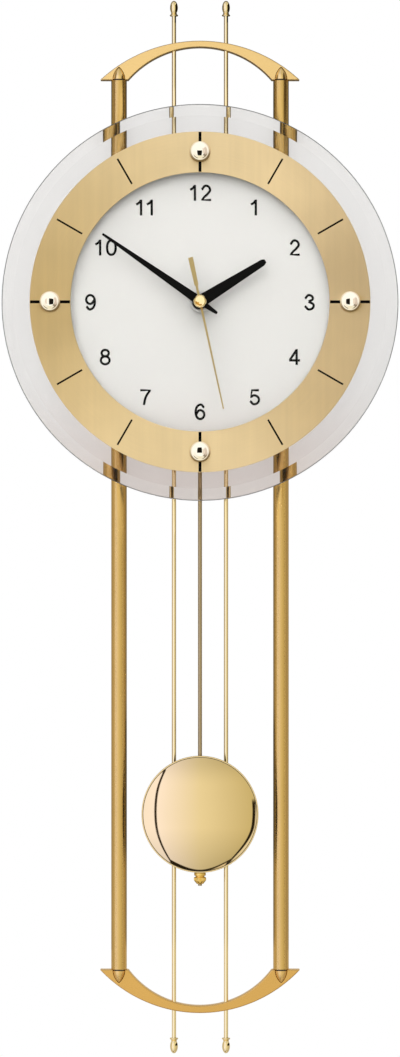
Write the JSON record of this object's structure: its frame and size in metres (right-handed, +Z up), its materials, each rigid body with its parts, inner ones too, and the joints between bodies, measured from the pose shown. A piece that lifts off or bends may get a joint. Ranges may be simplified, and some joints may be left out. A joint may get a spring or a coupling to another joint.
{
  "type": "pendulum wall clock",
  "caption": "Radio-controlled wall clock with a bevelled glass dial, brass ring and hands on a slim tube frame, above a swinging pendulum.",
  "frame": {"origin": "on the wall plane, on the rear face of the hanger bar just above the keyhole that takes the wall screw", "axes": "+Z up, +Y into the wall, so the dial faces -Y; +X to the viewer's right"},
  "size_m": [0.256, 0.0558, 0.6875],
  "materials": {
    "glass": "clear, polished, with a bevelled edge",
    "dial_white": "matt white paint on sheet",
    "ring_brass": "circular brushed, champagne tone",
    "frame_brass": "satin",
    "polished_brass": "polished",
    "rod_bronze": "matt bronze",
    "hand_black": "satin black paint",
    "steel": "zinc plated",
    "bob_back": "plain sheet with a guide",
    "black_plastic": "fine moulded grain",
    "white_plastic": "moulded acetal",
    "copper_wire": "enamelled wire",
    "circuit_green": "solder mask",
    "ferrite": "sintered",
    "battery_wrap": "plain printed sleeve"
  },
  "bodies": {
    "clock_body": {"glass_disc": "glass", "dial_face": "dial_white", "dial_ring": "ring_brass", "backing_plate": "black_plastic", "fixing_nut": "steel", "ball_stud_12": "polished_brass", "ball_stud_3": "polished_brass", "ball_stud_6": "polished_brass", "ball_stud_9": "polished_brass", "top_crescent": "frame_brass", "bottom_crescent": "frame_brass", "left_tube": "frame_brass", "right_tube": "frame_brass", "left_wire": "polished_brass", "right_wire": "polished_brass", "top_left_finial": "polished_brass", "top_right_finial": "polished_brass", "bottom_left_finial": "polished_brass", "bottom_right_finial": "polished_brass", "hanger_bar": "steel", "lower_bar": "steel", "upper_left_tube_screw": "steel", "upper_right_tube_screw": "steel", "lower_left_tube_screw": "steel", "lower_right_tube_screw": "steel", "upper_left_post": "steel", "upper_right_post": "steel", "lower_left_post": "steel", "lower_right_post": "steel", "case_front": "black_plastic", "rear_cover": "black_plastic", "circuit_board": "circuit_green", "ferrite_antenna": "ferrite", "battery": "battery_wrap", "positive_contact": "steel", "negative_contact": "steel", "minute_stator": "steel", "second_stator": "steel", "minute_coil": "copper_wire", "second_coil": "copper_wire", "pendulum_coil": "copper_wire"},
    "minute_arbor": {"minute_wheel": "white_plastic", "minute_hand": "hand_black"},
    "hour_pipe": {"hour_wheel": "white_plastic", "hour_hand": "hand_black"},
    "motion_work": {"motion_wheel": "white_plastic"},
    "minute_third": {"minute_third_wheel": "white_plastic"},
    "minute_motor": {"minute_rotor": "steel"},
    "second_arbor": {"second_wheel": "steel", "second_hand": "polished_brass"},
    "second_third": {"second_third_wheel": "white_plastic"},
    "second_motor": {"second_rotor": "steel"},
    "pendulum": {"pendulum_lever": "white_plastic", "pendulum_magnet": "steel", "pendulum_rod": "rod_bronze"},
    "bob": {"bob_shell": "polished_brass", "bob_back": "bob_back"},
    "nut": {"rating_nut": "polished_brass"},
    "set_key": {"set_button": "white_plastic"},
    "reset_key": {"reset_button": "white_plastic"}
  },
  "joints": [
    {"name": "minute_hand_turn", "type": "hinge", "parent": "clock_body", "child": "minute_arbor", "pos_m": [0, -0.03, -0.0665], "axis": [0, 1, 0], "continuous": true},
    {"name": "hour_hand_turn", "type": "hinge", "parent": "clock_body", "child": "hour_pipe", "pos_m": [0, -0.03, -0.0665], "axis": [0, 1, 0], "continuous": true},
    {"name": "motion_wheel_turn", "type": "hinge", "parent": "clock_body", "child": "motion_work", "pos_m": [0, -0.029, -0.05324], "axis": [0, 1, 0], "continuous": true},
    {"name": "minute_third_turn", "type": "hinge", "parent": "clock_body", "child": "minute_third", "pos_m": [-0.01308, -0.024, -0.07126], "axis": [0, 1, 0], "continuous": true},
    {"name": "minute_rotor_turn", "type": "hinge", "parent": "clock_body", "child": "minute_motor", "pos_m": [-0.01716, -0.024, -0.08248], "axis": [0, 1, 0], "continuous": true},
    {"name": "second_hand_turn", "type": "hinge", "parent": "clock_body", "child": "second_arbor", "pos_m": [0, -0.02, -0.0665], "axis": [0, 1, 0], "continuous": true},
    {"name": "second_third_turn", "type": "hinge", "parent": "clock_body", "child": "second_third", "pos_m": [0.01308, -0.019, -0.07126], "axis": [0, 1, 0], "continuous": true},
    {"name": "second_rotor_turn", "type": "hinge", "parent": "clock_body", "child": "second_motor", "pos_m": [0.01716, -0.02, -0.08248], "axis": [0, 1, 0], "continuous": true},
    {"name": "pendulum_swing", "type": "hinge", "parent": "clock_body", "child": "pendulum", "pos_m": [0, -0.0155, -0.10848], "axis": [0, 1, 0], "range_deg": [-8, 8]},
    {"name": "bob_slide", "type": "slide", "parent": "pendulum", "child": "bob", "axis": [0, 0, 1], "range_m": [-0.001, 0.001]},
    {"name": "rating_nut_turn", "type": "hinge", "parent": "bob", "child": "nut", "pos_m": [0, -0.0179, -0.44], "axis": [0, 0, 1], "range_deg": [-720, 720]},
    {"name": "set_button_press", "type": "slide", "parent": "clock_body", "child": "set_key", "axis": [0, -1, 0], "range_m": [0, 0.0008], "stiffness_N_per_m": 600},
    {"name": "reset_button_press", "type": "slide", "parent": "clock_body", "child": "reset_key", "axis": [0, -1, 0], "range_m": [0, 0.0008], "stiffness_N_per_m": 600}
  ],
  "couplings": [
    {"joint": "hour_hand_turn", "follows": "minute_hand_turn", "ratio": 0.083333},
    {"joint": "motion_wheel_turn", "follows": "minute_hand_turn", "ratio": -0.33333},
    {"joint": "minute_third_turn", "follows": "minute_hand_turn", "ratio": -6},
    {"joint": "minute_rotor_turn", "follows": "minute_hand_turn", "ratio": 30},
    {"joint": "second_third_turn", "follows": "second_hand_turn", "ratio": -6},
    {"joint": "second_rotor_turn", "follows": "second_hand_turn", "ratio": 30},
    {"joint": "rating_nut_turn", "follows": "bob_slide", "rad_per_m": 12566}
  ]
}
